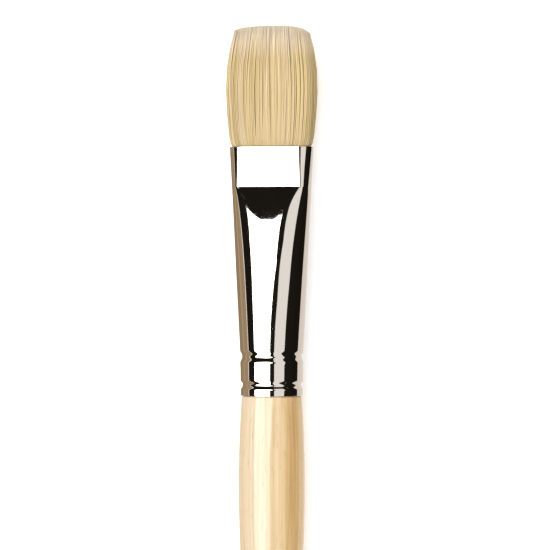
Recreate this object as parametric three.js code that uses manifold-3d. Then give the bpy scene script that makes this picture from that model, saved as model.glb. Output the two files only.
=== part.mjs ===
// A flat hog-bristle oil brush: a turned wooden handle, a seamless nickel-plated ferrule pressed flat at
// its mouth and crimped twice onto the handle, and a tuft of natural bristle tied and set in cement.
//
// Millimetres. The brush lies level with its axis along Y, the bristle tips towards +Y and the handle's
// tail towards -Y. +Z is up and square to the flat of the tuft, and Z = 0 is the table under the belly
// of the handle. The origin is under the middle of the brush's length.
import * as THREE from "three";
import { mergeVertices } from "three/addons/utils/BufferGeometryUtils.js";
import Module from "manifold-3d";

// ---- Driving dimensions -------------------------------------------------------------------------

const brushLength = 300;

// Tuft: places are in front of the ferrule's mouth, and sizes are against the mouth's outside.
const tuftLength = 19.4; // from the mouth to the middle of the tip
const flarePlace = 1.2; // the bristles spring out as soon as they leave the ferrule
const flareOverWidth = 0.05;
const flareUnderThickness = 0.1;
const swellPlace = 9; // where the tuft is widest
const swellOverWidth = 1;
const swellOverThickness = 0.4;
const tipUnderWidth = 1.85;
const tipThickness = 2.2;
const tuftSideRound = 1.6; // half-width of the rounded edges of the tuft
const tipCrown = 0.4; // how much the tip curves back from the middle to the corners
const tipCornerRound = 0.55; // how much further the two corners are rounded off
const outerRowBundles = 9; // bundles in the top row, and in the under row
const coreRowBundles = 10;
const bundleGap = 0.12;

// Ferrule
const ferruleLength = 39.8;
const ferruleWall = 0.3;
const mouthWidth = 13.65;
const padThickness = 4.4; // over the two pressed pads, at the mouth
const padThicknessAtCrease = 4.7;
const padLength = 6.4; // from the mouth to the crease that ends the pads
const padTaper = 0.75; // how much narrower the tube is at the crease than at the mouth
const padEdgeAtMouth = 2.85; // width of the rounded edge on each side of a pad
const padEdgeAtCrease = 1.7;
const tubeDiameter = 10.3; // the round tube, just in front of the first crimp
const swellQuickness = 3.6; // higher values swell the tube to its thickness sooner behind the crease
const flatQuickness = 6; // higher values round off the flat on top sooner behind the crease
const rimTaper = 0.26; // how much narrower the tube is at the rim over the handle
const crimpDepth = 0.3;
const frontCrimpPlace = 6.3; // from the rim to the middle of the crimp
const frontCrimpWidth = 2;
const rearCrimpPlace = 1.75;
const rearCrimpWidth = 1.5;

// Handle
const shoulderStep = 0.32; // how much narrower the handle starts than the rim in front of it
const bellySwell = 0.94; // how much thicker the handle's belly is than its start
const bellyPlace = 14; // from the shoulder to the widest point
const tailDiameter = 4.3;
const tailRound = 3; // length of the rounded end
const taperQuickness = 8; // higher values thin the handle sooner behind the belly
const tenonLength = 17;
const tenonBevel = 1.6; // length of the bevel on the tenon's front edge
const tenonBevelDepth = 0.9;
const glueFill = 0.6; // how far the glue runs along the bevel, as a share of its length

// Roots, thread and cement
const gatherDepth = 3.6; // behind the mouth, where the bristles are drawn in for the thread
const threadDiameter = 0.35;
const threadTurns = 3;
const neckLength = 0.6; // over which a bundle narrows to its root peg, behind the thread
const pegShare = 0.55; // width of a root peg, as a share of its bundle's cell
const rootSet = 4.6; // how far the roots reach into the cement
const cementBehindRoots = 3.4;
const cementBesideRoots = 0.5;

// Clearances between neighbours
const tuftClearance = 0.13; // bristle to ferrule
const threadClearance = 0.08; // thread to bristle
const threadSpacing = 0.11; // from one turn of the thread to the next
const cementClearance = 0.1; // cement to ferrule
const pegClearance = 0.1; // a root peg in its pocket
const tenonClearance = 0.1; // tenon to ferrule
const seatClearance = 0.1; // rim to shoulder
const glueClearance = 0.1;

// Facets and rings
const handleFacets = 24; // round the handle, which lies on one of them
const ferruleFacets = 2 * handleFacets; // so that the tenon's corners face corners of the bore
const coneRings = 13;
const crimpRings = 6;
const bellyRings = 6;
const taperRings = 18;
const endRings = 4;
const cementRings = 5;
const bundleSides = 8;
const tuftRings = 6;
const threadStepsPerTurn = 24;

// ---- Small helpers ------------------------------------------------------------------------------

const wasm = await Module();
wasm.setup();

const lerp = THREE.MathUtils.lerp;

// Moves every vertex of a geometry to where `place(x, y, z)` says.
function reshape(geometry, place) {
  const position = geometry.getAttribute("position");
  const even = (value) => Math.round(value * 1e5) / 1e5; // both sides of a seam get the same value
  for (let i = 0; i < position.count; i += 1) {
    const from = [position.getX(i), position.getY(i), position.getZ(i)].map(even);
    position.setXYZ(i, ...place(...from));
  }
  geometry.computeVertexNormals();
  return geometry;
}

// A closed upright column of radius 1, with a ring of vertices at Y = 0, 1, 2 and so on.
function ringedColumn(sides, ringCount) {
  const height = ringCount - 1;
  return new THREE.CylinderGeometry(1, 1, height, sides, height).translate(0, height / 2, 0);
}

function toSolid(geometry) {
  const bare = geometry.clone();
  bare.deleteAttribute("normal");
  bare.deleteAttribute("uv");
  const merged = mergeVertices(bare, 1e-4);
  const vertProperties = merged.getAttribute("position").array;
  const triVerts = new Uint32Array(merged.index.array);
  return new wasm.Manifold(new wasm.Mesh({ numProp: 3, vertProperties, triVerts }));
}

function toGeometry(solid) {
  const { vertProperties, triVerts } = solid.getMesh();
  const geometry = new THREE.BufferGeometry();
  geometry.setAttribute("position", new THREE.BufferAttribute(vertProperties, 3));
  geometry.setIndex(new THREE.BufferAttribute(triVerts, 1));
  geometry.computeVertexNormals();
  return geometry;
}

function piece(name, geometry, material) {
  const mesh = new THREE.Mesh(geometry, material);
  mesh.name = name;
  return mesh;
}

// ---- Materials ----------------------------------------------------------------------------------

const nickel = new THREE.MeshStandardMaterial({ color: 0xd9d0c4, roughness: 0.08, metalness: 1 });
const lacqueredWood = new THREE.MeshStandardMaterial({ color: 0xecd0a0, roughness: 0.25 });
const bristle = new THREE.MeshStandardMaterial({ color: 0xe3cb96, roughness: 0.55 });
const cement = new THREE.MeshStandardMaterial({ color: 0xa8762f, roughness: 0.3 });
const thread = new THREE.MeshStandardMaterial({ color: 0xe9e4d6, roughness: 0.9 });
const glue = new THREE.MeshStandardMaterial({ color: 0xe8ddb8, roughness: 0.35 });

// ---- Ferrule ------------------------------------------------------------------------------------
// `depth` is measured back from the mouth, so the mouth is at Y = 0 and the rim at Y = -ferruleLength.

const crimps = [
  { depth: ferruleLength - frontCrimpPlace, width: frontCrimpWidth },
  { depth: ferruleLength - rearCrimpPlace, width: rearCrimpWidth },
];
const roundDepth = crimps[0].depth - crimps[0].width / 2; // the pressing has run out here
const rimDiameter = tubeDiameter - rimTaper;

// The tube's outside section at a depth: a flat top of 2 * halfFlat between two quarter-ellipse edges.
function ferruleSection(depth) {
  const halfCrease = (mouthWidth - padTaper) / 2;
  if (depth <= padLength) {
    const run = Math.max(depth, 0) / padLength;
    const halfWidth = lerp(mouthWidth / 2, halfCrease, run);
    const halfThickness = lerp(padThickness, padThicknessAtCrease, run) / 2;
    return { halfWidth, halfThickness, halfFlat: halfWidth - lerp(padEdgeAtMouth, padEdgeAtCrease, run) };
  }
  if (depth < roundDepth) {
    const left = 1 - (depth - padLength) / (roundDepth - padLength);
    const radius = tubeDiameter / 2;
    return {
      halfWidth: radius + (halfCrease - radius) * left,
      halfThickness: radius - (radius - padThicknessAtCrease / 2) * left ** swellQuickness,
      halfFlat: (halfCrease - padEdgeAtCrease) * left ** flatQuickness,
    };
  }
  const run = Math.min(1, (depth - roundDepth) / (ferruleLength - roundDepth));
  const radius = lerp(tubeDiameter, rimDiameter, run) / 2;
  return { halfWidth: radius, halfThickness: radius, halfFlat: 0 };
}

// How far the two rolled crimps press the wall in at a depth.
function crimpInset(depth) {
  const crimp = crimps.find(({ depth: middle, width }) => Math.abs(depth - middle) < width / 2);
  return crimp ? crimpDepth * Math.cos((Math.PI * (depth - crimp.depth)) / crimp.width) ** 2 : 0;
}

// The point of a section at a turn from +X towards +Z, a distance `inset` inside the outside surface.
function sectionPoint(section, turn, inset) {
  const edge = section.halfWidth - section.halfFlat - inset;
  const rise = section.halfThickness - inset;
  const quarterArc = (Math.PI / 4) * (edge + rise);
  const arcTurn = (Math.PI / 2) * (quarterArc / (quarterArc + section.halfFlat));
  const x = Math.cos(turn);
  const z = Math.sin(turn);
  const folded = Math.atan2(Math.abs(z), Math.abs(x));
  const arc = Math.min(1, folded / arcTurn) * (Math.PI / 2);
  const alongFlat = Math.max(0, folded - arcTurn) / Math.max(Math.PI / 2 - arcTurn, 1e-9);
  const reach = section.halfFlat * (1 - alongFlat) + edge * Math.cos(arc);
  return [Math.sign(x) * reach, Math.sign(z) * rise * Math.sin(arc)];
}

// Depths of the rings that the ferrule's wall is built on, mouth first.
function ferruleDepths() {
  const depths = [0, padLength / 2, padLength];
  for (let ring = 1; ring < coneRings; ring += 1) {
    const share = (ring / coneRings) ** 1.25; // closer together just behind the crease
    depths.push(lerp(padLength, roundDepth, share));
  }
  for (const crimp of crimps) {
    for (let ring = 0; ring <= crimpRings; ring += 1) {
      depths.push(crimp.depth + crimp.width * (ring / crimpRings - 0.5));
    }
  }
  depths.push(ferruleLength);
  return depths;
}

function makeFerrule() {
  // A straight round tube first: its radius only carries how far inside the outer surface a point is.
  const tubeRadius = tubeDiameter / 2;
  const depths = ferruleDepths();
  const wallLine = (inset) =>
    depths.map((depth) => new THREE.Vector2(tubeRadius - inset - crimpInset(depth), -depth));
  const outside = wallLine(0).reverse();
  const inside = wallLine(ferruleWall);
  const tube = new THREE.LatheGeometry([...outside, ...inside, outside[0].clone()], ferruleFacets);
  // Then it is pressed to the section at each depth.
  const pressed = reshape(tube, (x, y, z) => {
    const inset = tubeRadius - Math.hypot(x, z);
    const [px, pz] = sectionPoint(ferruleSection(-y), Math.atan2(z, x), inset);
    return [px, y, pz];
  });
  return piece("ferrule", pressed, nickel);
}

// ---- Handle -------------------------------------------------------------------------------------
// `back` is measured from the shoulder towards the tail.

const shoulderY = -(ferruleLength + seatClearance);
const handleLength = brushLength - tuftLength - ferruleLength - seatClearance;
const shoulderDiameter = rimDiameter - shoulderStep;
const bellyDiameter = shoulderDiameter + bellySwell;

function handleRadius(back) {
  const belly = bellyDiameter / 2;
  const tail = tailDiameter / 2;
  if (back <= bellyPlace) {
    const toBelly = (bellyPlace - back) / bellyPlace;
    return belly - (bellySwell / 2) * toBelly ** 2;
  }
  const run = (back - bellyPlace) / (handleLength - tailRound - bellyPlace);
  const fall = (share) => 1 / Math.hypot(1, taperQuickness * share);
  return tail + ((belly - tail) * (fall(run) - fall(1))) / (1 - fall(1));
}

const tenonFront = ferruleLength - tenonLength;
const bevelEnd = tenonFront + tenonBevel;

// The round that fills the ferrule's bore at a depth. It is pressed in where the crimps are.
function boreRadius(depth) {
  const { halfWidth, halfThickness } = ferruleSection(depth);
  return Math.min(halfWidth, halfThickness) - ferruleWall - tenonClearance - crimpInset(depth);
}

function tenonRadius(depth) {
  if (depth >= bevelEnd) return boreRadius(depth);
  const run = (depth - tenonFront) / tenonBevel;
  return lerp(boreRadius(tenonFront) - tenonBevelDepth, boreRadius(bevelEnd), run);
}

function makeHandle() {
  const outline = [];
  const tailEnd = handleLength - tailRound;
  for (let ring = 0; ring <= endRings; ring += 1) {
    const angle = (Math.PI / 2) * (ring / endRings);
    const radius = (tailDiameter / 2) * Math.sin(angle);
    outline.push(new THREE.Vector2(radius, shoulderY - tailEnd - tailRound * Math.cos(angle)));
  }
  for (let ring = 1; ring <= taperRings; ring += 1) {
    const share = (1 - ring / taperRings) ** 1.6; // closer together near the belly
    const back = lerp(bellyPlace, tailEnd, share);
    outline.push(new THREE.Vector2(handleRadius(back), shoulderY - back));
  }
  for (let ring = 1; ring <= bellyRings; ring += 1) {
    const back = bellyPlace * (1 - ring / bellyRings);
    outline.push(new THREE.Vector2(handleRadius(back), shoulderY - back));
  }
  // The tenon has rings where the ferrule's wall has them.
  outline.push(new THREE.Vector2(tenonRadius(ferruleLength), shoulderY));
  const alongTenon = ferruleDepths().filter((depth) => depth > bevelEnd);
  for (const depth of [tenonFront, bevelEnd, ...alongTenon].reverse()) {
    outline.push(new THREE.Vector2(tenonRadius(depth), -depth));
  }
  outline.push(new THREE.Vector2(0, -tenonFront));
  // The middles of the facets touch the round outline, and one facet faces the table.
  const halfFacet = Math.PI / handleFacets;
  const corners = outline.map(({ x, y }) => new THREE.Vector2(x / Math.cos(halfFacet), y));
  return piece("handle", new THREE.LatheGeometry(corners, handleFacets, halfFacet), lacqueredWood);
}

// The glue is squeezed up into the wedge between the tenon's bevel and the ferrule. Its ring is round
// inside, and outside it follows the pressed tube.
function makeHandleGlue() {
  const back = tenonFront + glueFill * tenonBevel;
  const outerRadius = boreRadius(tenonFront);
  const outline = [
    new THREE.Vector2(outerRadius, -back),
    new THREE.Vector2(outerRadius, -tenonFront),
    new THREE.Vector2(tenonRadius(tenonFront) + glueClearance, -tenonFront),
    new THREE.Vector2(tenonRadius(back) + glueClearance, -back),
    new THREE.Vector2(outerRadius, -back),
  ];
  const ring = reshape(new THREE.LatheGeometry(outline, ferruleFacets), (x, y, z) => {
    if (Math.hypot(x, z) < outerRadius - 1e-3) return [x, y, z];
    const [px, pz] = sectionPoint(ferruleSection(-y), Math.atan2(z, x), ferruleWall + glueClearance);
    return [px, y, pz];
  });
  return piece("handle_glue", ring, glue);
}

// ---- Tuft ---------------------------------------------------------------------------------------
// The tuft is three rows of bundles. `across` runs from -1 at one edge of a row to 1 at the other, and
// `level` from -1 under the tuft to 1 on top of it.

const mouth = ferruleSection(0);
const mouthOutline = {
  half: mouth.halfThickness - ferruleWall - tuftClearance,
  side: mouth.halfWidth - mouth.halfFlat - ferruleWall - tuftClearance,
  width: mouth.halfWidth - ferruleWall - tuftClearance,
};

const threadPitch = threadDiameter + threadSpacing;
const threadStart = gatherDepth + threadDiameter; // depth of the middle of the thread's front end
const neckStart = threadStart + threadTurns * threadPitch + threadDiameter / 2 + threadClearance;
const cementFront = neckStart + neckLength + pegClearance;
const rootDepth = cementFront + rootSet;
const cementBack = rootDepth + cementBehindRoots;

const threadRoom = threadDiameter + 2 * threadClearance;
const rootHalfThickness =
  ferruleSection(threadStart).halfThickness - ferruleWall - tuftClearance - threadRoom;
const rootOutline = {
  half: rootHalfThickness,
  side: rootHalfThickness,
  width: ferruleSection(rootDepth).halfWidth - ferruleWall - cementClearance - cementBesideRoots,
};

const looseHalfWidths = {
  mouth: mouthOutline.width,
  flare: (mouthWidth + flareOverWidth) / 2,
  swell: (mouthWidth + swellOverWidth) / 2,
  tip: (mouthWidth - tipUnderWidth) / 2,
};
const looseHalfThicknesses = {
  mouth: mouthOutline.half,
  flare: (padThickness - flareUnderThickness) / 2,
  swell: (padThickness + swellOverThickness) / 2,
  tip: tipThickness / 2,
};

// A size of the loose bristle at a place in front of the mouth: it flares, swells and falls away.
function looseSize(y, sizes) {
  if (y < flarePlace) return lerp(sizes.mouth, sizes.flare, y / flarePlace);
  if (y < swellPlace) {
    const toSwell = (swellPlace - y) / (swellPlace - flarePlace);
    return sizes.swell - (sizes.swell - sizes.flare) * toSwell ** 1.6;
  }
  const pastSwell = (y - swellPlace) / (tuftLength - swellPlace);
  return sizes.swell - (sizes.swell - sizes.tip) * pastSwell ** 2.2;
}

function tuftOutline(y) {
  if (y <= -gatherDepth) return rootOutline;
  if (y < 0) {
    const run = -y / gatherDepth;
    return {
      half: lerp(mouthOutline.half, rootOutline.half, run),
      side: lerp(mouthOutline.side, rootOutline.side, run),
      width: lerp(mouthOutline.width, rootOutline.width, run),
    };
  }
  const half = looseSize(y, looseHalfThicknesses);
  return { half, side: Math.min(tuftSideRound, half), width: looseSize(y, looseHalfWidths) };
}

function tuftPoint(y, across, level) {
  const { half, side, width } = tuftOutline(y);
  const reach = width - side + side * Math.sqrt(Math.max(0, 1 - level ** 2));
  return [across * reach, half * level];
}

function tipHeight(across) {
  return tuftLength - tipCrown * across ** 2 - tipCornerRound * across ** 8;
}

// A bundle of bristles in the cell from `low` to `high`, each [across, level]. Every station along it
// has the share of the cell that it fills, and how far it then spreads on every side.
function makeBundleGeometry({ low, high }, stations) {
  return reshape(ringedColumn(bundleSides, stations.length), (x, ring, z) => {
    const { y, share, spread } = stations[Math.round(ring)];
    // The column's round section is stretched to a square.
    const stretch = Math.hypot(x, z) / Math.max(Math.abs(x), Math.abs(z), 1e-9);
    const u = x * stretch;
    const v = z * stretch;
    const across = lerp(low[0], high[0], (1 + u * share) / 2);
    const level = lerp(low[1], high[1], (1 + v * share) / 2);
    const [px, pz] = tuftPoint(y, across, level);
    return [px + u * spread, y, pz + v * spread];
  });
}

function bundleStations(across) {
  const peg = { share: pegShare, spread: 0 };
  const full = { share: 1, spread: -bundleGap / 2 };
  const stations = [
    { y: -rootDepth, ...peg },
    { y: -(neckStart + neckLength), ...peg },
    { y: -neckStart, ...full },
    { y: -gatherDepth, ...full },
    { y: 0, ...full },
  ];
  for (let ring = 0; ring <= tuftRings; ring += 1) {
    stations.push({ y: lerp(flarePlace, tipHeight(across), ring / tuftRings), ...full });
  }
  return stations;
}

// Every bundle of the tuft as { name, low, high, middle }.
function layOutBundles() {
  const rows = [
    { name: "under", count: outerRowBundles, from: -1, to: -1 / 3 },
    { name: "core", count: coreRowBundles, from: -1 / 3, to: 1 / 3 },
    { name: "top", count: outerRowBundles, from: 1 / 3, to: 1 },
  ];
  const bundles = [];
  for (const row of rows) {
    for (let place = 0; place < row.count; place += 1) {
      const left = -1 + (2 * place) / row.count;
      const right = -1 + (2 * (place + 1)) / row.count;
      bundles.push({
        name: `bristles_${row.name}_${place + 1}`,
        low: [left, row.from],
        high: [right, row.to],
        middle: (left + right) / 2,
      });
    }
  }
  return bundles;
}

function makeTuft() {
  return layOutBundles().map((bundle) => {
    const stations = bundleStations(bundle.middle);
    return piece(bundle.name, makeBundleGeometry(bundle, stations), bristle);
  });
}

// ---- Thread and cement --------------------------------------------------------------------------

// The thread that ties the roots, wound round them in front of the cement.
function makeThread() {
  const loop = {
    halfWidth: rootOutline.width + threadClearance + threadDiameter / 2,
    halfThickness: rootOutline.half + threadClearance + threadDiameter / 2,
    halfFlat: rootOutline.width - rootOutline.side,
  };
  const points = [];
  const steps = threadTurns * threadStepsPerTurn;
  for (let step = 0; step <= steps; step += 1) {
    const turns = step / threadStepsPerTurn;
    const [x, z] = sectionPoint(loop, 2 * Math.PI * turns, 0);
    points.push(new THREE.Vector3(x, -(threadStart + threadPitch * turns), z));
  }
  const section = new THREE.Shape();
  section.absarc(0, 0, threadDiameter / 2, 0, 2 * Math.PI);
  const wound = new THREE.ExtrudeGeometry(section, {
    steps,
    curveSegments: 4,
    extrudePath: new THREE.CatmullRomCurve3(points),
  });
  return piece("root_thread", wound, thread);
}

// The set cement: a plug the shape of the ferrule's inside, with a blind pocket for each root peg.
function makeCement() {
  const plug = reshape(ringedColumn(ferruleFacets, cementRings + 1), (x, ring, z) => {
    const depth = lerp(cementBack, cementFront, ring / cementRings);
    if (Math.hypot(x, z) < 0.5) return [0, -depth, 0]; // the middle of an end face
    const inset = ferruleWall + cementClearance;
    const [px, pz] = sectionPoint(ferruleSection(depth), Math.atan2(z, x), inset);
    return [px, -depth, pz];
  });
  const pocket = { share: pegShare, spread: pegClearance };
  const pocketStations = [
    { y: -(rootDepth + pegClearance), ...pocket },
    { y: -(neckStart + neckLength), ...pocket },
  ];
  let solid = toSolid(plug);
  for (const bundle of layOutBundles()) {
    solid = solid.subtract(toSolid(makeBundleGeometry(bundle, pocketStations)));
  }
  return piece("root_cement", toGeometry(solid), cement);
}

// ---- The brush ----------------------------------------------------------------------------------

const brush = new THREE.Group();
brush.add(makeHandle(), makeFerrule(), makeHandleGlue(), makeCement(), makeThread(), ...makeTuft());
// Lay the brush on the table, with the middle of its length over the origin.
brush.position.set(0, brushLength / 2 - tuftLength, bellyDiameter / 2);

const model = new THREE.Group();
model.add(brush);

export default model;
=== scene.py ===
# %% [markdown]
# # A flat bristle brush for oil paint
#
# The brush lies on a pale table: a tuft of hog bristle, a nickel-plated ferrule that is pressed flat at
# its mouth, and a turned and lacquered handle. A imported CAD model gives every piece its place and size.
# This lesson builds the finer pieces around it: single bristles, a thin polished tube and a smooth
# handle. Lengths are in metres, and the brush points along +Y.

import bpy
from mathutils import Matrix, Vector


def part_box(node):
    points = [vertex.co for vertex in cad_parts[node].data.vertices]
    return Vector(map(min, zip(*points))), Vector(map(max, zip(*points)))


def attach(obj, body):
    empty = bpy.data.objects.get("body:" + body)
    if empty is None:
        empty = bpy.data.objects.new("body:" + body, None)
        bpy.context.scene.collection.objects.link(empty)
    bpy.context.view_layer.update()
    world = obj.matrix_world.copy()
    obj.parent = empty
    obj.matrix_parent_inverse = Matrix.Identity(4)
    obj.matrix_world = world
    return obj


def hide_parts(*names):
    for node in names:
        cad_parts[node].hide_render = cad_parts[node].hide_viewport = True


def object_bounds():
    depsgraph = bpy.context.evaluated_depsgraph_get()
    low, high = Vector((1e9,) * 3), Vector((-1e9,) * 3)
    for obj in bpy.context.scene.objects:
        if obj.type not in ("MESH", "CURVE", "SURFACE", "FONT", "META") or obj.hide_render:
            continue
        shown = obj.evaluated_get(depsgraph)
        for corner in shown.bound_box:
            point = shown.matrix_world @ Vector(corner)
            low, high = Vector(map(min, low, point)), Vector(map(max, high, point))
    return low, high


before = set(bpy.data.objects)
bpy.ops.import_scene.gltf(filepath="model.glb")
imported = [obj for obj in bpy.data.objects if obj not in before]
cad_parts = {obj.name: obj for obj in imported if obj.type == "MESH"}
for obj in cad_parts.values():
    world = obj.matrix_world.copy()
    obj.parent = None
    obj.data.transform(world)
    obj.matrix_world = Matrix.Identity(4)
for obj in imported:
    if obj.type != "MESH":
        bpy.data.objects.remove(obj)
cad_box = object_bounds()
print("CAD nodes:", len(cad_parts))

# %% Tools that every step uses
import math
import random

import bpy
import numpy as np
from mathutils import Vector, noise

MM = 0.001
scene = bpy.context.scene
SEED = 8
dice = random.Random(SEED)
noise.seed_set(SEED)


def lerp(start, end, share):
    return start + (end - start) * share


def deselect_all():
    """Nothing is left selected, so that the next operator acts on the new piece alone."""
    if bpy.context.object and bpy.context.object.mode != "OBJECT":
        bpy.ops.object.mode_set(mode="OBJECT")
    bpy.ops.object.select_all(action="DESELECT")


def pick(obj):
    deselect_all()
    obj.select_set(True)
    bpy.context.view_layer.objects.active = obj


# %% [markdown]
# ## Where things are
#
# The boxes of the CAD nodes hold the brush's main sizes, so these are read instead of written again.
# The sizes that a box doesn't show, such as how far the crimps are pressed in, are named here.

# %% Sizes that the frame gives
ferrule_low, ferrule_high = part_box("ferrule")
handle_low, handle_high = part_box("handle")
MOUTH_Y = ferrule_high.y
FERRULE_LENGTH = ferrule_high.y - ferrule_low.y
MOUTH_WIDTH = ferrule_high.x - ferrule_low.x
TUBE_DIAMETER = ferrule_high.z - ferrule_low.z
AXIS_Z = (handle_low.z + handle_high.z) / 2
BELLY_DIAMETER = handle_high.z - handle_low.z
TENON_DEPTH = MOUTH_Y - handle_high.y
HANDLE_END = MOUTH_Y - handle_low.y
TUFT_LENGTH = cad_box[1].y - MOUTH_Y
print(f"mouth {MOUTH_WIDTH / MM:.1f} mm wide, belly {BELLY_DIAMETER / MM:.2f} mm thick")

# %% Sizes of the ferrule
PAD_THICKNESS = 4.4 * MM
PAD_THICKNESS_AT_CREASE = 4.7 * MM
PAD_LENGTH = 6.4 * MM
PAD_TAPER = 0.75 * MM
PAD_EDGE_AT_MOUTH = 2.85 * MM
PAD_EDGE_AT_CREASE = 1.7 * MM
RIM_TAPER = 0.26 * MM
WALL = 0.3 * MM
CRIMP_DEPTH = 0.3 * MM
FRONT_CRIMP_PLACE, FRONT_CRIMP_WIDTH = 6.3 * MM, 2 * MM
REAR_CRIMP_PLACE, REAR_CRIMP_WIDTH = 1.75 * MM, 1.5 * MM
GAP = 0.1 * MM
SWELL_QUICKNESS = 3.6
FLAT_QUICKNESS = 6

RIM_DIAMETER = TUBE_DIAMETER - RIM_TAPER
# Each crimp has the depth of its middle behind the mouth, and its width.
FRONT_CRIMP = (FERRULE_LENGTH - FRONT_CRIMP_PLACE, FRONT_CRIMP_WIDTH)
REAR_CRIMP = (FERRULE_LENGTH - REAR_CRIMP_PLACE, REAR_CRIMP_WIDTH)
ROUND_DEPTH = FRONT_CRIMP[0] - FRONT_CRIMP_WIDTH / 2
print(f"the tube is round from {ROUND_DEPTH / MM:.1f} mm behind the mouth")

# %% [markdown]
# ## The camera
#
# The camera looks down on the brush through a long lens. The round handle lets the brush roll a little
# on the table, so the flat of the ferrule faces a few degrees away from the lens. Here the camera is
# turned about the brush by that angle instead, which keeps the brush as the frame has it.

# %% Camera
ROLL = math.radians(11)
VIEW_WIDTH = 88 * MM
CAMERA_DISTANCE = 0.6
VIEW_CENTRE_Y = MOUTH_Y - 20.5 * MM
VIEW_CENTRE_SIDE = 0.55 * MM

camera_data = bpy.data.cameras.new("camera")
camera_data.sensor_width = 36
camera_data.lens = camera_data.sensor_width * CAMERA_DISTANCE / VIEW_WIDTH
camera_data.clip_start = 0.01
camera_data.clip_end = 20
camera = bpy.data.objects.new("camera", camera_data)
scene.collection.objects.link(camera)
towards_camera = Vector((math.sin(ROLL), 0, math.cos(ROLL)))
camera_right = Vector((math.cos(ROLL), 0, -math.sin(ROLL)))
aim = Vector((0, VIEW_CENTRE_Y, AXIS_Z)) + VIEW_CENTRE_SIDE * camera_right
camera.location = aim + CAMERA_DISTANCE * towards_camera
camera.rotation_euler = (0, ROLL, 0)
scene.camera = camera
scene.view_settings.view_transform = "Standard"
print(f"lens {camera_data.lens:.0f} mm")

# %% [markdown]
# ## A small class for shader maths
#
# A finish is a tree of nodes, and most of its nodes do sums. Writing `1 - mask * 0.4` is easier to read
# than three nodes and their links. A `Value` wraps a socket and turns such sums into Math nodes. All
# other nodes come from one method, `Finish.node`.

# %% Value and Finish
class Value:
    """A socket of a finish that Python can do sums with."""

    def __init__(self, finish, socket):
        self.finish = finish
        self.socket = socket

    def sum(self, operation, first, second):
        return self.finish.node("Math", {"operation": operation}, {0: first, 1: second})

    def __add__(self, other):
        return self.sum("ADD", self, other)

    def __sub__(self, other):
        return self.sum("SUBTRACT", self, other)

    def __rsub__(self, other):
        return self.sum("SUBTRACT", other, self)

    def __mul__(self, other):
        return self.sum("MULTIPLY", self, other)

    __radd__ = __add__
    __rmul__ = __mul__


class Finish:
    """A material whose nodes are added one by one."""

    def __init__(self, name):
        self.material = bpy.data.materials.new(name)
        self.material.use_nodes = True
        self.tree = self.material.node_tree
        self.tree.nodes.clear()
        self.output = self.tree.nodes.new("ShaderNodeOutputMaterial")

    def node(self, kind, settings=None, inputs=None, output=0):
        """A node's type, its settings, which are set first, and the values or links of its sockets."""
        made = self.tree.nodes.new("ShaderNode" + kind)
        for name, setting in (settings or {}).items():
            if name == "stops":
                elements = made.color_ramp.elements
                while len(elements) < len(setting):
                    elements.new(0.5)
                for element, (place, colour) in zip(elements, setting):
                    element.position = place
                    element.color = (*colour, 1)
            else:
                setattr(made, name, setting)
        for name, value in (inputs or {}).items():
            if isinstance(value, Value):
                self.tree.links.new(value.socket, made.inputs[name])
            else:
                made.inputs[name].default_value = value
        return Value(self, made.outputs[output])

    def place(self, scale=(1, 1, 1)):
        """The point of the piece, in metres, stretched by a scale."""
        here = self.node("TexCoord", output="Object")
        return self.node("Mapping", {"vector_type": "POINT"}, {"Vector": here, "Scale": scale})

    def grain(self, scale, detail=2.0, roughness=0.5, distortion=0.0):
        """Noise from 0 to 1 around 0.5. The scale is in waves for each metre, along X, Y and Z."""
        return self.node(
            "TexNoise",
            {"noise_dimensions": "3D"},
            {
                "Vector": self.place(scale),
                "Scale": 1.0,
                "Detail": detail,
                "Roughness": roughness,
                "Distortion": distortion,
            },
        )

    def between(self, value, low, high, start=0.0, end=1.0):
        """Runs from start to end as value runs from low to high, and stays there beyond."""
        inputs = {0: value, 1: low, 2: high, 3: start, 4: end}
        return self.node("MapRange", {"clamp": True}, inputs)

    def mix(self, share, first, second, blend="MIX"):
        settings = {"data_type": "RGBA", "blend_type": blend}
        colours = [c if isinstance(c, Value) else (*c, 1) for c in (first, second)]
        return self.node("Mix", settings, {0: share, 6: colours[0], 7: colours[1]}, output=2)

    def ramp(self, value, *stops):
        return self.node("ValToRGB", {"stops": stops}, {0: value})

    def bump(self, height, depth):
        """A bump of a depth in metres, for a height from 0 to 1."""
        return self.node("Bump", {}, {"Height": height, "Distance": depth, "Strength": 1.0})

    def surface(self, shader):
        self.tree.links.new(shader.socket, self.output.inputs["Surface"])
        print(f"{self.material.name}: {len(self.tree.nodes)} nodes")
        return self.material


# %% [markdown]
# ## The table and the light
#
# The table is a white sheet. The handle is thicker at its belly than at its tail, so the sheet is tilted
# by a small angle to touch both. It glows faintly, which keeps it pure white under a soft light.
#
# Wood and bristle are lit by two soft panels and by light from all round. A polished tube needs more
# care, because a mirror shows only what is around it. Its stripes are drawn by cards that nothing but a
# reflection sees: a big white card on the left, a dimmer one on the right, a thin one low on the left,
# and darkness between and behind them. Low cards beside the brush give the tube's edges their brown,
# pale and black. A card's outline bends where its stripe on the ferrule does, and since the cards cast
# no light and no shadow, they change nothing on the table.

# %% Table
TAIL_DIAMETER = 4.3 * MM
TAIL_ROUND = 3 * MM
BELLY_PLACE = 14 * MM
SHOULDER_DEPTH = FERRULE_LENGTH + GAP
belly_y = MOUTH_Y - SHOULDER_DEPTH - BELLY_PLACE
tail_y = handle_low.y + TAIL_ROUND
tail_z = AXIS_Z - TAIL_DIAMETER / 2
TABLE_SIZE = 8
table_tilt = math.atan2(tail_z - handle_low.z, belly_y - tail_y)

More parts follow.
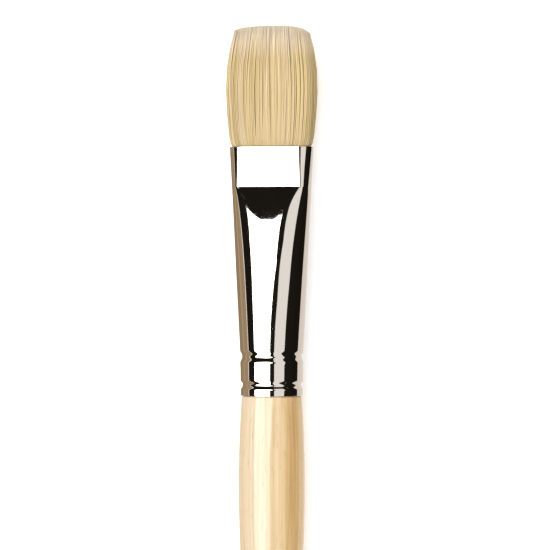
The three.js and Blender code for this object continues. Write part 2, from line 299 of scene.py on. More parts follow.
deselect_all()
bpy.ops.mesh.primitive_plane_add(
    size=TABLE_SIZE, location=(0, belly_y, handle_low.z), rotation=(-table_tilt, 0, 0)
)
table = bpy.context.object
table.name = "table"
paper = Finish("table_paper")
fibre = paper.grain((900, 900, 900), detail=3)
paper_shader = paper.node(
    "BsdfPrincipled",
    {},
    {
        "Base Color": paper.mix(fibre, (0.86, 0.86, 0.86), (0.9, 0.9, 0.9)),
        "Roughness": 0.9,
        "Specular IOR Level": 0.0,
        "Emission Color": (1, 1, 1, 1),
        "Emission Strength": 0.4,
    },
)
table.data.materials.append(paper.surface(paper_shader))
print(f"the table is tilted by {math.degrees(table_tilt):.2f} degrees")

# %% Soft light from all round
WORLD_LIGHT = 0.5
world = bpy.data.worlds.new("studio")
scene.world = world
world.use_nodes = True
world.node_tree.nodes["Background"].inputs["Color"].default_value = (1, 1, 1, 1)
world.node_tree.nodes["Background"].inputs["Strength"].default_value = WORLD_LIGHT
print("light from all round:", WORLD_LIGHT)

# %% Panels that light the brush and the table
PANEL_DISTANCE = 1.0
PANEL_MIDDLE_Y = MOUTH_Y - 18 * MM


def around_brush(angle, distance, y):
    """A point at a distance from the brush's axis, at an angle from the camera's side towards +X."""
    turn = ROLL + angle
    return Vector((distance * math.sin(turn), y, AXIS_Z + distance * math.cos(turn)))


def add_panel(name, angles, tilts, radiance):
    """A soft panel that fills a range of angles round the brush, and of tilts towards the tips."""
    low, high = (math.radians(angle) for angle in angles)
    back, front = (PANEL_DISTANCE * math.tan(math.radians(tilt)) for tilt in tilts)
    middle = (low + high) / 2
    light = bpy.data.lights.new(name, "AREA")
    light.shape = "RECTANGLE"
    light.size = 2 * PANEL_DISTANCE * math.tan((high - low) / 2)
    light.size_y = front - back
    light.energy = radiance * math.pi * light.size * light.size_y
    panel = bpy.data.objects.new(name, light)
    scene.collection.objects.link(panel)
    panel.location = around_brush(middle, PANEL_DISTANCE, PANEL_MIDDLE_Y + (front + back) / 2)
    panel.rotation_euler = (0, ROLL + middle, 0)
    panel.visible_camera = False
    panel.visible_glossy = False


add_panel("key_panel", angles=(-63, -2), tilts=(-40, 45), radiance=2.7)
add_panel("fill_panel", angles=(16, 52), tilts=(-45, 40), radiance=0.65)
print("panels:", len(bpy.data.lights))

# %% What the polished metal and the lacquer reflect
def reflection_only(card, radiance, colour=(1, 1, 1), streaks=0.0):
    """Gives a card a glow that only mirror reflections see."""
    finish = Finish(card.name + "_glow")
    streak = finish.grain((260, 6, 260), detail=3)
    shade = finish.between(streak, 0.35, 0.65, 1 - streaks, 1 + streaks)
    grey = finish.node("CombineColor", {}, {0: shade, 1: shade, 2: shade})
    tint = finish.mix(1.0, colour, grey, "MULTIPLY")
    glow = finish.node("Emission", {}, {"Color": tint, "Strength": radiance})
    card.data.materials.append(finish.surface(glow))
    card.visible_camera = False
    card.visible_diffuse = False
    card.visible_shadow = False
    card.visible_transmission = False


def direction(angle, tilt):
    """A direction at an angle from the camera's side towards +X, and at a tilt towards the tips."""
    turn = ROLL + math.radians(angle)
    tilt = math.radians(tilt)
    return Vector((math.sin(turn) * math.cos(tilt), math.sin(tilt), math.cos(turn) * math.cos(tilt)))


def add_card(name, corners, radiance):
    """A flat card whose corners are seen from the brush at these angles and tilts, in degrees."""
    towards = [direction(*corner) for corner in corners]
    facing = sum(towards, Vector()).normalized()
    deselect_all()
    bpy.ops.mesh.primitive_circle_add(vertices=len(corners), fill_type="NGON")
    card = bpy.context.object
    card.name = name
    for vertex, way in zip(card.data.vertices, towards):
        vertex.co = way * (PANEL_DISTANCE / way.dot(facing))
    card.location = (0, PANEL_MIDDLE_Y, AXIS_Z)
    reflection_only(card, radiance)


# %% The tall cards and the dark tent
LOWEST_TILT = -70
KEY_CORNERS = (
    (-64, LOWEST_TILT), (-64, -1.5), (-62.5, 8.5), (-57, 13.9), (-54.5, 15.8), (-51, 17.2), (-47, 18.5),
    (-40, 20.8), (-33, 22.8), (-26, 24.6), (-20, 24.8), (-14, 24.1), (-9.5, 22.4), (-4, 21), (2.5, 12.4),
    (5, 6.5), (1.8, 3.7), (-1.4, 1), (-6.3, -1.9), (-6.3, LOWEST_TILT),
)
FILL_CORNERS = (
    (9.7, LOWEST_TILT), (9.7, -2.2), (14.8, 0.3), (16.2, 5.5), (18.3, 9.7), (13, 15.4), (10.5, 17.5),
    (8, 45), (51, 45), (51, 0), (46.7, -3.5), (46.7, LOWEST_TILT),
)
RIM_CORNERS = ((-98, -45), (-98, 45), (-91, 45), (-91, -45))
TENT_RADIUS = 7
add_card("key_card", KEY_CORNERS, radiance=5.5)
add_card("fill_card", FILL_CORNERS, radiance=1.05)
add_card("rim_card", RIM_CORNERS, radiance=1.5)

deselect_all()
bpy.ops.mesh.primitive_uv_sphere_add(segments=48, ring_count=24, radius=TENT_RADIUS)
dark_tent = bpy.context.object
dark_tent.name = "dark_tent"
reflection_only(dark_tent, radiance=1.0, colour=(0.014, 0.012, 0.010), streaks=0.2)
print("corners of the white card:", len(KEY_CORNERS))

# %% Low cards beside the brush
CARD_LENGTH = 600 * MM
CARD_LIFT = 0.5 * MM


def lay_card(name, near, far, slope, colour, streaks):
    """A card beside the brush, from a near to a far distance from its axis, rising outwards."""
    width = abs(far - near)
    lift = CARD_LIFT + width / 2 * math.sin(slope)
    deselect_all()
    bpy.ops.mesh.primitive_plane_add(
        size=1,
        location=(near + (far - near) / 2 * math.cos(slope), belly_y, lift),
        rotation=(-table_tilt, -math.copysign(slope, far), 0),
    )
    card = bpy.context.object
    card.name = name
    card.scale = (width, CARD_LENGTH, 1)
    reflection_only(card, radiance=1.0, colour=colour, streaks=streaks)


PALE_END = 17 * MM
WARM, PALE, DARK = (0.46, 0.345, 0.22), (0.92, 0.86, 0.81), (0.012, 0.010, 0.008)
lay_card("warm_card", -9.6 * MM, -509.6 * MM, slope=math.radians(9), colour=WARM, streaks=0.5)
lay_card("pale_card", 3 * MM, PALE_END, slope=0, colour=PALE, streaks=0.08)
lay_card("dark_card", PALE_END, 517 * MM, slope=math.radians(1.5), colour=DARK, streaks=0.2)
print(f"the table looks pale to the ferrule up to {PALE_END / MM:.0f} mm from the axis")

# %% [markdown]
# ## The ferrule
#
# A ferrule is drawn from brass sheet as a seamless tube, nickel-plated, pressed flat at its mouth and
# rolled into grooves over the handle. It could be lofted between a few sections, but its mirror finish
# shows every uneven face. So it is made as the real one is: a plain round tube first, extruded ring by
# ring, then pressed by moving each ring to its section, and last given its wall.

# %% The section at a depth behind the mouth
def ferrule_section(depth):
    """Half of the width, of the thickness and of the flat on top, outside."""
    half_crease = (MOUTH_WIDTH - PAD_TAPER) / 2
    if depth <= PAD_LENGTH:
        run = max(depth, 0) / PAD_LENGTH
        half_width = lerp(MOUTH_WIDTH / 2, half_crease, run)
        half_thickness = lerp(PAD_THICKNESS, PAD_THICKNESS_AT_CREASE, run) / 2
        return half_width, half_thickness, half_width - lerp(PAD_EDGE_AT_MOUTH, PAD_EDGE_AT_CREASE, run)
    radius = TUBE_DIAMETER / 2
    if depth < ROUND_DEPTH:
        left = 1 - (depth - PAD_LENGTH) / (ROUND_DEPTH - PAD_LENGTH)
        half_width = radius + (half_crease - radius) * left
        half_thickness = radius - (radius - PAD_THICKNESS_AT_CREASE / 2) * left**SWELL_QUICKNESS
        return half_width, half_thickness, (half_crease - PAD_EDGE_AT_CREASE) * left**FLAT_QUICKNESS
    run = min(1, (depth - ROUND_DEPTH) / (FERRULE_LENGTH - ROUND_DEPTH))
    radius = lerp(TUBE_DIAMETER, RIM_DIAMETER, run) / 2
    return radius, radius, 0


def crimp_inset(depth):
    """How far the rolled grooves press the wall in."""
    for middle, width in (FRONT_CRIMP, REAR_CRIMP):
        if abs(depth - middle) < width / 2:
            return CRIMP_DEPTH * math.cos(math.pi * (depth - middle) / width) ** 2
    return 0


def section_point(section, turn, inset):
    """The point at a turn from +X towards +Z, inside the outside surface by the inset."""
    half_width, half_thickness, half_flat = section
    edge = half_width - half_flat - inset
    rise = half_thickness - inset
    quarter_arc = math.pi / 4 * (edge + rise)
    arc_turn = math.pi / 2 * quarter_arc / (quarter_arc + half_flat)
    x, z = math.cos(turn), math.sin(turn)
    folded = math.atan2(abs(z), abs(x))
    arc = min(1, folded / arc_turn) * math.pi / 2
    along_flat = max(0, folded - arc_turn) / max(math.pi / 2 - arc_turn, 1e-9)
    reach = half_flat * (1 - along_flat) + edge * math.cos(arc)
    return math.copysign(reach, x), math.copysign(rise * math.sin(arc), z)


print(f"the flat on top is {2 * ferrule_section(0)[2] / MM:.1f} mm wide at the mouth")

# %% Depths of the rings, closest together where the tube bends most
PAD_RINGS, CONE_RINGS, CRIMP_RINGS, BETWEEN_RINGS, RIM_RINGS = 10, 76, 24, 6, 5
CREASE_RINGS = 5
CREASE_SPACING = 0.05 * MM
CUT_EDGE = 0.1 * MM


def spread(start, end, count):
    return [lerp(start, end, place / count) for place in range(1, count + 1)]


STRETCHES = (
    (PAD_LENGTH - CREASE_RINGS * CREASE_SPACING, PAD_RINGS),
    (PAD_LENGTH + CREASE_RINGS * CREASE_SPACING, 2 * CREASE_RINGS),
    (ROUND_DEPTH, CONE_RINGS),
    (FRONT_CRIMP[0] + FRONT_CRIMP_WIDTH / 2, CRIMP_RINGS),
    (REAR_CRIMP[0] - REAR_CRIMP_WIDTH / 2, BETWEEN_RINGS),
    (REAR_CRIMP[0] + REAR_CRIMP_WIDTH / 2, CRIMP_RINGS),
    (FERRULE_LENGTH, RIM_RINGS),
)
ring_depths = [0.0, CUT_EDGE]
for end, count in STRETCHES:
    ring_depths += spread(ring_depths[-1], end, count)
print("rings along the ferrule:", len(ring_depths))

# %% Draw the tube, then press it
FERRULE_SIDES = 144


def along_axis(depth):
    return Vector((0, MOUTH_Y - depth, AXIS_Z))


deselect_all()
bpy.ops.mesh.primitive_circle_add(
    vertices=FERRULE_SIDES,
    radius=TUBE_DIAMETER / 2,
    fill_type="NOTHING",
    location=along_axis(0),
    rotation=(math.pi / 2, 0, 0),
)
ferrule = bpy.context.object
ferrule.name = "polished_ferrule"
bpy.ops.object.mode_set(mode="EDIT")
bpy.ops.mesh.select_all(action="SELECT")
for before, after in zip(ring_depths, ring_depths[1:]):
    bpy.ops.mesh.extrude_edges_move(TRANSFORM_OT_translate={"value": (0, before - after, 0)})
bpy.ops.mesh.select_all(action="SELECT")
bpy.ops.mesh.normals_make_consistent(inside=False)
bpy.ops.object.mode_set(mode="OBJECT")
bpy.ops.object.transform_apply(location=True, rotation=True, scale=True)

for vertex in ferrule.data.vertices:
    depth = MOUTH_Y - vertex.co.y
    turn = math.atan2(vertex.co.z - AXIS_Z, vertex.co.x)
    x, z = section_point(ferrule_section(depth), turn, crimp_inset(depth))
    vertex.co = (x, vertex.co.y, AXIS_Z + z)
print("faces of the pressed sheet:", len(ferrule.data.polygons))

# %% Give the tube its wall, and soften the cut edges
EDGE_ROUND = 0.05 * MM


def outward(obj):
    """Whether the first face of a tube round the axis looks away from it."""
    face = obj.data.polygons[0]
    return face.normal.dot(face.center - Vector((0, face.center.y, AXIS_Z))) > 0


def apply_modifiers(obj):
    pick(obj)
    for modifier in list(obj.modifiers):
        bpy.ops.object.modifier_apply(modifier=modifier.name)


if not outward(ferrule):
    pick(ferrule)
    bpy.ops.object.mode_set(mode="EDIT")
    bpy.ops.mesh.select_all(action="SELECT")
    bpy.ops.mesh.flip_normals()
    bpy.ops.object.mode_set(mode="OBJECT")
wall = ferrule.modifiers.new("wall", "SOLIDIFY")
wall.thickness = WALL
wall.offset = -1
softened = ferrule.modifiers.new("softened", "BEVEL")
softened.width = EDGE_ROUND
softened.segments = 3
softened.limit_method = "ANGLE"
softened.angle_limit = math.radians(60)
apply_modifiers(ferrule)
bpy.ops.object.shade_smooth_by_angle(angle=math.radians(40))
print("ferrule faces:", len(ferrule.data.polygons))

# %% [markdown]
# ### Nickel plate
#
# Polished nickel is a slightly warm mirror. What makes it look like a real tube is what disturbs the
# mirror: fine lines along the tube from drawing, hairline scratches from handling, and a haze that is a
# little stronger in places.

# %% Nickel
NICKEL = (0.70, 0.645, 0.585)


def make_nickel():
    nickel = Finish("nickel_plate")
    drawn = nickel.grain((5200, 60, 5200), detail=3)
    haze = nickel.grain((300, 160, 300), detail=4)
    scratch = nickel.grain((1400, 9000, 1400), detail=1, distortion=0.6)
    hairline = nickel.between(scratch, 0.70, 0.74)
    tint = nickel.mix(haze, [0.97 * c for c in NICKEL], [1.03 * c for c in NICKEL])
    shader = nickel.node(
        "BsdfPrincipled",
        {},
        {
            "Base Color": tint,
            "Metallic": 1.0,
            "Roughness": nickel.between(haze, 0.3, 0.7, 0.025, 0.055) + hairline * 0.08,
            "Normal": nickel.bump(drawn * 0.7 + hairline * 0.3, 0.0004 * MM),
        },
    )
    return nickel.surface(shader)


def finish_piece(obj, material, slot, *nodes):
    """Gives a piece its material, parents it to the root body, and hides the CAD nodes it stands for."""
    obj.data.materials.clear()
    obj.data.materials.append(material)
    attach(obj, "root")
    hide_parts(*nodes)


finish_piece(ferrule, make_nickel(), "nickel_plate", "ferrule")

# %% [markdown]
# ## The handle
#
# The handle is turned on a lathe from a pale hardwood, so its shape is one outline spun round the axis.
# The outline runs from the rounded tail over the belly to the shoulder, and on to the tenon that is
# glued and crimped into the ferrule.

# %% The outline, as radius and depth behind the mouth
BELLY_SWELL = 0.94 * MM
TAPER_QUICKNESS = 8
TENON_BEVEL = 1.6 * MM
TENON_BEVEL_DEPTH = 0.9 * MM
SHOULDER_ROUND = 0.12 * MM
TAIL_STEPS, TAPER_STEPS, BELLY_STEPS, SHOULDER_STEPS = 10, 60, 24, 4
TAPER_SPACING = 1.6


def handle_radius(back):
    """The radius at a distance behind the shoulder."""
    belly, tail = BELLY_DIAMETER / 2, TAIL_DIAMETER / 2
    if back <= BELLY_PLACE:
        return belly - BELLY_SWELL / 2 * ((BELLY_PLACE - back) / BELLY_PLACE) ** 2
    run = (back - BELLY_PLACE) / (HANDLE_END - TAIL_ROUND - SHOULDER_DEPTH - BELLY_PLACE)

    def fall(share):
        return 1 / math.hypot(1, TAPER_QUICKNESS * share)

    return tail + (belly - tail) * (fall(run) - fall(1)) / (1 - fall(1))


def tenon_radius(depth):
    half_width, half_thickness, _ = ferrule_section(depth)
    bore = min(half_width, half_thickness) - WALL - GAP - crimp_inset(depth)
    bevel = max(0, 1 - (depth - TENON_DEPTH) / TENON_BEVEL)
    return bore - TENON_BEVEL_DEPTH * bevel


outline = [(0, HANDLE_END)]
for step in range(1, TAIL_STEPS + 1):
    angle = math.pi / 2 * step / TAIL_STEPS
    depth = HANDLE_END - TAIL_ROUND * (1 - math.cos(angle))
    outline.append((TAIL_DIAMETER / 2 * math.sin(angle), depth))
behind_belly = HANDLE_END - TAIL_ROUND - SHOULDER_DEPTH
for step in range(1, TAPER_STEPS + 1):
    back = lerp(BELLY_PLACE, behind_belly, (1 - step / TAPER_STEPS) ** TAPER_SPACING)
    outline.append((handle_radius(back), SHOULDER_DEPTH + back))
for step in range(1, BELLY_STEPS + 1):
    back = lerp(BELLY_PLACE, SHOULDER_ROUND, step / BELLY_STEPS)
    outline.append((handle_radius(back), SHOULDER_DEPTH + back))
for step in range(1, SHOULDER_STEPS + 1):
    angle = math.pi / 2 * step / SHOULDER_STEPS
    radius = handle_radius(SHOULDER_ROUND) - SHOULDER_ROUND * (1 - math.cos(angle))
    outline.append((radius, SHOULDER_DEPTH + SHOULDER_ROUND * (1 - math.sin(angle))))
outline.append((tenon_radius(SHOULDER_DEPTH), SHOULDER_DEPTH))
for depth in reversed([d for d in ring_depths if d > TENON_DEPTH + TENON_BEVEL][::2]):
    outline.append((tenon_radius(depth), depth))
outline.append((tenon_radius(TENON_DEPTH + TENON_BEVEL), TENON_DEPTH + TENON_BEVEL))
outline.append((tenon_radius(TENON_DEPTH), TENON_DEPTH))
outline.append((0, TENON_DEPTH))
print("points on the outline:", len(outline))

# %% Spin the outline
HANDLE_SIDES = 128
MERGE = 0.0005 * MM


def turn_on_lathe(name, outline, sides):
    """A solid turned round the brush's axis from an outline of radius and depth."""
    points = [along_axis(depth) + Vector((0, 0, radius)) for radius, depth in outline]
    deselect_all()
    bpy.ops.mesh.primitive_plane_add(size=MM, location=points[0])
    turned = bpy.context.object
    turned.name = name
    bpy.ops.object.mode_set(mode="EDIT")
    bpy.ops.mesh.select_all(action="SELECT")
    bpy.ops.mesh.merge(type="CENTER")
    for here, there in zip(points, points[1:]):
        bpy.ops.mesh.extrude_region_move(TRANSFORM_OT_translate={"value": there - here})
    bpy.ops.mesh.select_all(action="SELECT")
    bpy.ops.mesh.spin(steps=sides, angle=2 * math.pi, center=(0, 0, AXIS_Z), axis=(0, 1, 0))
    bpy.ops.mesh.select_all(action="SELECT")
    bpy.ops.mesh.remove_doubles(threshold=MERGE)
    bpy.ops.mesh.normals_make_consistent(inside=False)
    bpy.ops.object.mode_set(mode="OBJECT")
    bpy.ops.object.transform_apply(location=True, rotation=True, scale=True)
    bpy.ops.object.shade_smooth_by_angle(angle=math.radians(40))
    return turned


handle = turn_on_lathe("lacquered_handle", outline, HANDLE_SIDES)
print("handle faces:", len(handle.data.polygons))

# %% [markdown]
# ### Lacquered wood
#
# The wood is a pale, close-grained hardwood. Its yearly rings show as soft stripes along the handle,
# the pores as short fine flecks, and the rays as faint pinkish specks. A clear gloss lacquer lies over
# it, which carries the sharp highlight. The lacquer is the shader's coat, so the wood under it can stay
# dull.

# %% Wood
def make_lacquered_wood():
    wood = Finish("lacquered_wood")
    across = wood.node("SeparateXYZ", {}, {0: wood.place()}, output="X")
    # Towards +X, the side away from the key light, the wood is painted darker and more orange: painted
    # shade.
    side = wood.between(across, -0.5 * MM, 4 * MM)
    year = wood.grain((330, 7, 140), detail=3, roughness=0.55, distortion=0.5)
    stripe = wood.grain((1900, 26, 1900), detail=3, roughness=0.6)
    fibre = wood.grain((9000, 260, 9000), detail=2)
    pore = wood.between(wood.grain((3400, 420, 3400), detail=1), 0.64, 0.72)
    ray = wood.between(wood.grain((2000, 700, 2000), detail=1), 0.64, 0.74)
    rings = year * 0.55 + stripe * 0.45
    # A paler copy of the wood's colour for the lit side, and a darker, more orange copy as painted shade.
    lit_side_wood = wood.ramp(
        rings,
        (0.36, (0.50, 0.365, 0.225)),
        (0.46, (0.56, 0.445, 0.30)),
        (0.54, (0.595, 0.49, 0.36)),
        (0.64, (0.63, 0.535, 0.415)),
    )
    painted_shade_wood = wood.ramp(
        rings,
        (0.36, (0.50, 0.29, 0.105)),
        (0.46, (0.59, 0.385, 0.155)),
        (0.54, (0.65, 0.45, 0.20)),
        (0.64, (0.69, 0.52, 0.28)),
    )
    # The edge towards +X is painted darker still, towards a dark brown: painted shade.
    edge = wood.between(across, 3.4 * MM, 5 * MM, 0.0, 0.3)
    base = wood.mix(edge, wood.mix(side, lit_side_wood, painted_shade_wood), (0.38, 0.23, 0.085))
    fibrous = wood.mix(wood.between(fibre, 0.3, 0.7, 0.0, 0.22), base, (0.52, 0.35, 0.17))
    rayed = wood.mix(ray * 0.3, fibrous, (0.66, 0.40, 0.24))
    pored = wood.mix(pore * 0.3, rayed, (0.36, 0.21, 0.08))
    shader = wood.node(
        "BsdfPrincipled",
        {},
        {
            "Base Color": pored,
            "Roughness": wood.between(fibre, 0.3, 0.7, 0.42, 0.58),
            "Coat Weight": 1.0,
            "Coat Roughness": 0.06,
            "Coat IOR": 1.5,
            "Specular IOR Level": 0.2,
            "Normal": wood.bump(fibre * 0.5 - pore * 0.5 + stripe * 0.4, 0.004 * MM),
        },
    )
    return wood.surface(shader)


finish_piece(handle, make_lacquered_wood(), "lacquered_wood", "handle")

# %% [markdown]
# ## The tuft
#
# A flat brush holds many hundreds of hog bristles, thickest at the root and finer at the tip. They stand
# in rows, are tied with thread and set in cement, and spring out to their full width as soon as they
# leave the ferrule. A block with a striped picture would look false at its edges and its tip, so every
# bristle is its own thin tube. One is modelled and then copied, and each copy is bent along its own line.

# %% The outline of the tuft, as the frame has it
FLARE_PLACE, SWELL_PLACE = 1.2 * MM, 9 * MM
GATHER_DEPTH, NECK_START, NECK_END = 3.6 * MM, 5.59 * MM, 6.19 * MM
ROOT_DEPTH = MOUTH_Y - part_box("bristles_core_1")[0].y
PEG_SHARE = 0.55
TUFT_CLEARANCE, THREAD_CLEARANCE = 0.13 * MM, 0.08 * MM
THREAD_DIAMETER = 0.35 * MM
CEMENT_BESIDE_ROOTS = 0.5 * MM
TUFT_SIDE_ROUND = 1.6 * MM
TIP_CROWN, LEFT_CORNER_WEAR, RIGHT_CORNER_WEAR = 0.4 * MM, 0.3 * MM, 0.9 * MM
FLARE_CURVE, SWELL_CURVE, TIP_CURVE = 0.6, 1.6, 2.2

mouth_half_width, mouth_half_thickness, mouth_half_flat = ferrule_section(0)
INSIDE = WALL + TUFT_CLEARANCE
THREAD_ROOM = THREAD_DIAMETER + 2 * THREAD_CLEARANCE
root_half = ferrule_section(GATHER_DEPTH + THREAD_DIAMETER)[1] - INSIDE - THREAD_ROOM
root_width = ferrule_section(ROOT_DEPTH)[0] - WALL - GAP - CEMENT_BESIDE_ROOTS
HALF_WIDTHS = {
    "mouth": mouth_half_width - INSIDE,
    "flare": (MOUTH_WIDTH + 0.05 * MM) / 2,
    "swell": (MOUTH_WIDTH + 1 * MM) / 2,
    "tip": (MOUTH_WIDTH - 1.85 * MM) / 2,
}
HALF_THICKNESSES = {
    "mouth": mouth_half_thickness - INSIDE,
    "flare": (PAD_THICKNESS - 0.1 * MM) / 2,
    "swell": (PAD_THICKNESS + 0.4 * MM) / 2,
    "tip": 1.1 * MM,
}


def loose_size(y, sizes):
    """A half size of the loose bristle in front of the mouth: it flares, swells and falls away."""
    if y < FLARE_PLACE:
        return lerp(sizes["mouth"], sizes["flare"], (max(0, y) / FLARE_PLACE) ** FLARE_CURVE)
    if y < SWELL_PLACE:
        to_swell = (SWELL_PLACE - y) / (SWELL_PLACE - FLARE_PLACE)
        return sizes["swell"] - (sizes["swell"] - sizes["flare"]) * to_swell**SWELL_CURVE
    past_swell = (y - SWELL_PLACE) / (TUFT_LENGTH - SWELL_PLACE)
    return sizes["swell"] - (sizes["swell"] - sizes["tip"]) * past_swell**TIP_CURVE


def tuft_point(y, across, level):
    """A place in the tuft: across and level run from -1 to 1 between its edges and its faces."""
    if y < 0:
        run = min(1, -y / GATHER_DEPTH)
        half = lerp(HALF_THICKNESSES["mouth"], root_half, run)
        side = lerp(mouth_half_width - mouth_half_flat - INSIDE, root_half, run)
        width = lerp(HALF_WIDTHS["mouth"], root_width, run)
    else:
        half = loose_size(y, HALF_THICKNESSES)
        width = loose_size(y, HALF_WIDTHS)
        side = min(TUFT_SIDE_ROUND, half)
    reach = width - side + side * math.sqrt(max(0, 1 - level**2))
    return Vector((across * reach, 0, half * level))


def tip_height(across):
    """The tip is a little crowned, and one corner of it is worn rounder than the other."""
    corner = RIGHT_CORNER_WEAR if across > 0 else LEFT_CORNER_WEAR
    return TUFT_LENGTH - TIP_CROWN * across**2 - corner * across**8


print(f"the tuft is {2 * HALF_WIDTHS['swell'] / MM:.2f} mm wide where it swells")

# %% Model one bristle
BRISTLE_SIDES = 5
# Each station has a place and a radius. A place behind the mouth is a length, and one in front of it
# is a share of the way to the tip.
STATIONS = [
    (-ROOT_DEPTH, 0.045 * MM),
    (-NECK_END, 0.05 * MM),
    (-NECK_START, 0.08 * MM),
    (0.0, 0.086 * MM),
    (0.03, 0.09 * MM),
    (0.10, 0.09 * MM),
    (0.28, 0.088 * MM),
    (0.48, 0.084 * MM),
    (0.68, 0.076 * MM),
    (0.86, 0.062 * MM),
    (1.0, 0.046 * MM),
]
deselect_all()
bpy.ops.mesh.primitive_circle_add(
    vertices=BRISTLE_SIDES, radius=1, fill_type="NGON", rotation=(math.pi / 2, 0, 0)
)
one_bristle = bpy.context.object
bpy.ops.object.mode_set(mode="EDIT")
bpy.ops.mesh.select_all(action="SELECT")
for _ in STATIONS[1:]:
    bpy.ops.mesh.extrude_region_move(TRANSFORM_OT_translate={"value": (0, 1, 0)})
bpy.ops.mesh.select_all(action="SELECT")
bpy.ops.mesh.normals_make_consistent(inside=False)
bpy.ops.object.mode_set(mode="OBJECT")
bpy.ops.object.transform_apply(location=True, rotation=True, scale=True)
bpy.ops.object.shade_smooth()
straight = np.array([vertex.co for vertex in one_bristle.data.vertices])
ring_of = np.rint(straight[:, 1]).astype(int)
for name in ("tone", "along"):
    one_bristle.data.attributes.new(name, "FLOAT", "POINT")
print("faces on one bristle:", len(one_bristle.data.polygons))

# %% The line that a bristle follows
SWAY = 0.08 * MM
CLUMPING = 0.12 * MM
BOW_SHARE = 0.6
USUALLY_SHORT, SHORTEST = 0.1 * MM, 0.7 * MM
TIP_WAVE = 0.12 * MM


def bristle_line(across, level, cell):
    """The middle of a bristle at each station. Its root is drawn towards the middle of its cell."""
    lean = Vector((dice.gauss(0, 1), 0, dice.gauss(0, 0.6))) * SWAY
    bow = Vector((dice.gauss(0, 1), 0, dice.gauss(0, 0.5))) * SWAY * BOW_SHARE
    clump = noise.noise_vector(Vector((across * 9, level * 1.7, 3.1)))
    short = min(SHORTEST, dice.expovariate(1 / USUALLY_SHORT))
    wave = TIP_WAVE * noise.noise(Vector((across * 7, level * 2, 8)))
    height = tip_height(across) - short + wave
    line = []
    for place, _ in STATIONS:
        y = place if place < 0 else place * height
        if y <= -NECK_END:
            middle = [(low + high) / 2 for low, high in cell]
            peg = [lerp(m, value, PEG_SHARE) for m, value in zip(middle, (across, level))]
            centre = tuft_point(y, *peg)
        else:
            centre = tuft_point(y, across, level)
        out = max(0, y) / TUFT_LENGTH
        centre += lean * out**1.6 + bow * math.sin(math.pi * min(1, out))
        centre.x += clump.x * CLUMPING * out
        centre.z += clump.z * CLUMPING * 0.5 * out
        line.append((centre.x, MOUTH_Y + y, AXIS_Z + centre.z))
    return np.array(line)


def bend_bristle(across, level, cell, tone):
    """A copy of the straight bristle, bent along its line."""
    mesh = one_bristle.data.copy()
    line = bristle_line(across, level, cell)
    radii = np.array([radius for _, radius in STATIONS]) * dice.uniform(0.85, 1.12)
    points = line[ring_of]
    points[:, 0] += straight[:, 0] * radii[ring_of]
    points[:, 2] += straight[:, 2] * radii[ring_of]
    mesh.vertices.foreach_set("co", points.ravel())
    mesh.attributes["tone"].data.foreach_set("value", np.full(len(points), tone))
    out = np.clip((points[:, 1] - MOUTH_Y) / TUFT_LENGTH, 0, 1)
    mesh.attributes["along"].data.foreach_set("value", out)
    return mesh


print(f"a bristle leans by about {SWAY / MM:.2f} mm at its tip")

# %% [markdown]
# ### Hog bristle
#
# Hog bristle is a pale straw colour. It varies from hair to hair, is yellower where the light comes
# through several hairs, and whitens towards the split tips. Towards the root it is painted darker, as
# painted shade near the ferrule. Each bristle carries a number of its own, and the material turns this
# into its colour.

# %% Bristle
def make_bristle():
    hair = Finish("bristle")
    tone = hair.node("Attribute", {"attribute_name": "tone"}, output="Fac")
    along = hair.node("Attribute", {"attribute_name": "along"}, output="Fac")
    drift = hair.grain((700, 90, 700), detail=3)
    scale = hair.grain((2500, 6000, 2500), detail=1)
    colour = hair.ramp(
        tone * 0.75 + drift * 0.25,
        (0.10, (0.47, 0.32, 0.135)),
        (0.35, (0.55, 0.41, 0.18)),
        (0.60, (0.58, 0.45, 0.24)),
        (0.90, (0.63, 0.50, 0.36)),
    )
    tip = hair.between(along, 0.72, 1.0, 0.0, 0.8)
    # Towards the root the colour is painted darker: painted shade near the ferrule mouth.
    root = hair.between(along, 0.0, 0.5, 0.2, 0.0)
    colour_with_painted_shade = hair.mix(root, colour, (0.10, 0.07, 0.035))
    pale = hair.mix(tip, colour_with_painted_shade, (0.80, 0.70, 0.58))
    shader = hair.node(
        "BsdfPrincipled",
        {},
        {
            "Base Color": pale,
            "Specular IOR Level": 0.3,
            "Roughness": hair.between(scale, 0.3, 0.7, 0.45, 0.6),
            "Normal": hair.bump(scale, 0.004 * MM),
        },
    )
    return hair.surface(shader)


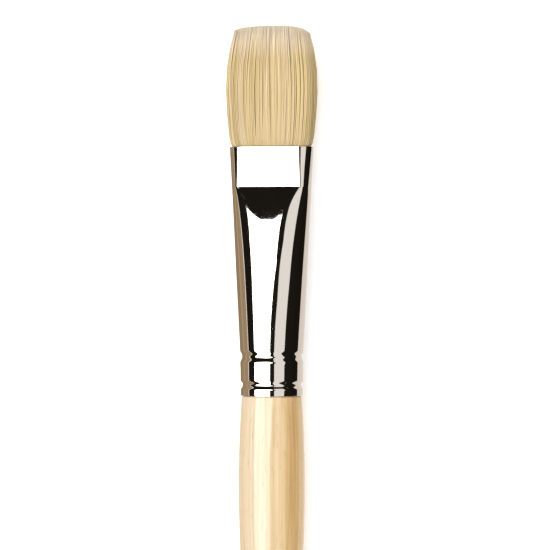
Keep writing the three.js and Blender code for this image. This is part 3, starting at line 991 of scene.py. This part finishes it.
# %% Fill every bundle of the frame with bristles
ROWS = (("under", 9, -1.0, -1 / 3), ("core", 10, -1 / 3, 1 / 3), ("top", 9, 1 / 3, 1.0))
ACROSS, DEEP = 11, 8
JITTER = 0.2
FILLED_WIDTH, FILLED_DEPTH = 0.985, 0.97
USUAL_TONE, TONE_SPREAD, FAMILY_SPREAD = 0.52, 0.16, 0.25
bristle_material = make_bristle()
total = 0
for row, count, bottom, top in ROWS:
    for place in range(count):
        left, right = -1 + 2 * place / count, -1 + 2 * (place + 1) / count
        cell = ((left, right), (bottom, top))
        copies = []
        for deep in range(DEEP):
            for column in range(ACROSS):
                u = (column + 0.25 + 0.5 * (deep % 2) + dice.uniform(-JITTER, JITTER)) / ACROSS
                v = (deep + 0.5 + dice.uniform(-JITTER, JITTER)) / DEEP
                across = FILLED_WIDTH * lerp(left, right, u)
                level = FILLED_DEPTH * lerp(bottom, top, v)
                family = noise.noise(Vector((across * 14, level * 4, 0.7)))
                tone = dice.gauss(USUAL_TONE, TONE_SPREAD) + FAMILY_SPREAD * family
                tone = min(1, max(0, tone))
                name = f"bristle_{row}_{place + 1}_{deep * ACROSS + column + 1}"
                bristle = bpy.data.objects.new(name, bend_bristle(across, level, cell, tone))
                scene.collection.objects.link(bristle)
                copies.append(bristle)
        deselect_all()
        for bristle in copies:
            bristle.select_set(True)
        bundle = copies[0]
        bpy.context.view_layer.objects.active = bundle
        bpy.ops.object.join()
        bundle.name = f"tuft_{row}_{place + 1}"
        finish_piece(bundle, bristle_material, "bristle", f"bristles_{row}_{place + 1}")
        total += len(copies)
bpy.data.objects.remove(one_bristle)
print("bristles:", total)

# %% [markdown]
# ## Inside the ferrule
#
# Thread, cement and glue are hidden in the ferrule, and their shapes are right as they are. They get
# finishes of their own, so that a cut-open view shows waxed thread, amber resin and dried glue.

# %% Thread, cement and glue
def make_thread():
    thread = Finish("waxed_thread")
    ply = thread.node(
        "TexWave",
        {"wave_type": "BANDS", "bands_direction": "DIAGONAL"},
        {"Vector": thread.place(), "Scale": 2600.0, "Distortion": 1.5, "Detail": 1.0},
    )
    wax = thread.grain((2000, 2000, 2000), detail=2)
    shader = thread.node(
        "BsdfPrincipled",
        {},
        {
            "Base Color": thread.mix(ply, (0.62, 0.56, 0.44), (0.86, 0.82, 0.73)),
            "Roughness": thread.between(wax, 0.3, 0.7, 0.55, 0.8),
            "Normal": thread.bump(ply, 0.03 * MM),
        },
    )
    return thread.surface(shader)


def make_resin(name, dark, light, roughness):
    """A set resin with clouds and small bubbles."""
    resin = Finish(name)
    cloud = resin.grain((500, 500, 500), detail=4)
    bubble = resin.node(
        "TexVoronoi",
        {"feature": "F1"},
        {"Vector": resin.place(), "Scale": 2200.0},
    )
    pit = resin.between(bubble, 0.12, 0.2, 1.0, 0.0)
    shader = resin.node(
        "BsdfPrincipled",
        {},
        {
            "Base Color": resin.mix(resin.between(cloud, 0.3, 0.7), dark, light),
            "Roughness": resin.between(cloud, 0.3, 0.7, roughness, roughness + 0.15),
            "Normal": resin.bump(cloud * 0.4 - pit * 0.5, 0.02 * MM),
        },
    )
    return resin.surface(shader)


INNER_FINISHES = {
    "root_thread": make_thread(),
    "root_cement": make_resin("cement", (0.22, 0.09, 0.015), (0.45, 0.22, 0.05), 0.25),
    "handle_glue": make_resin("glue", (0.66, 0.55, 0.30), (0.84, 0.77, 0.55), 0.3),
}
for node_name, material in INNER_FINISHES.items():
    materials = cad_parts[node_name].data.materials
    materials.clear()
    materials.append(material)

# %% [markdown]
# ## Finish
#
# The scene is brought up to date, and nothing is left selected.

bpy.context.view_layer.update()
deselect_all()
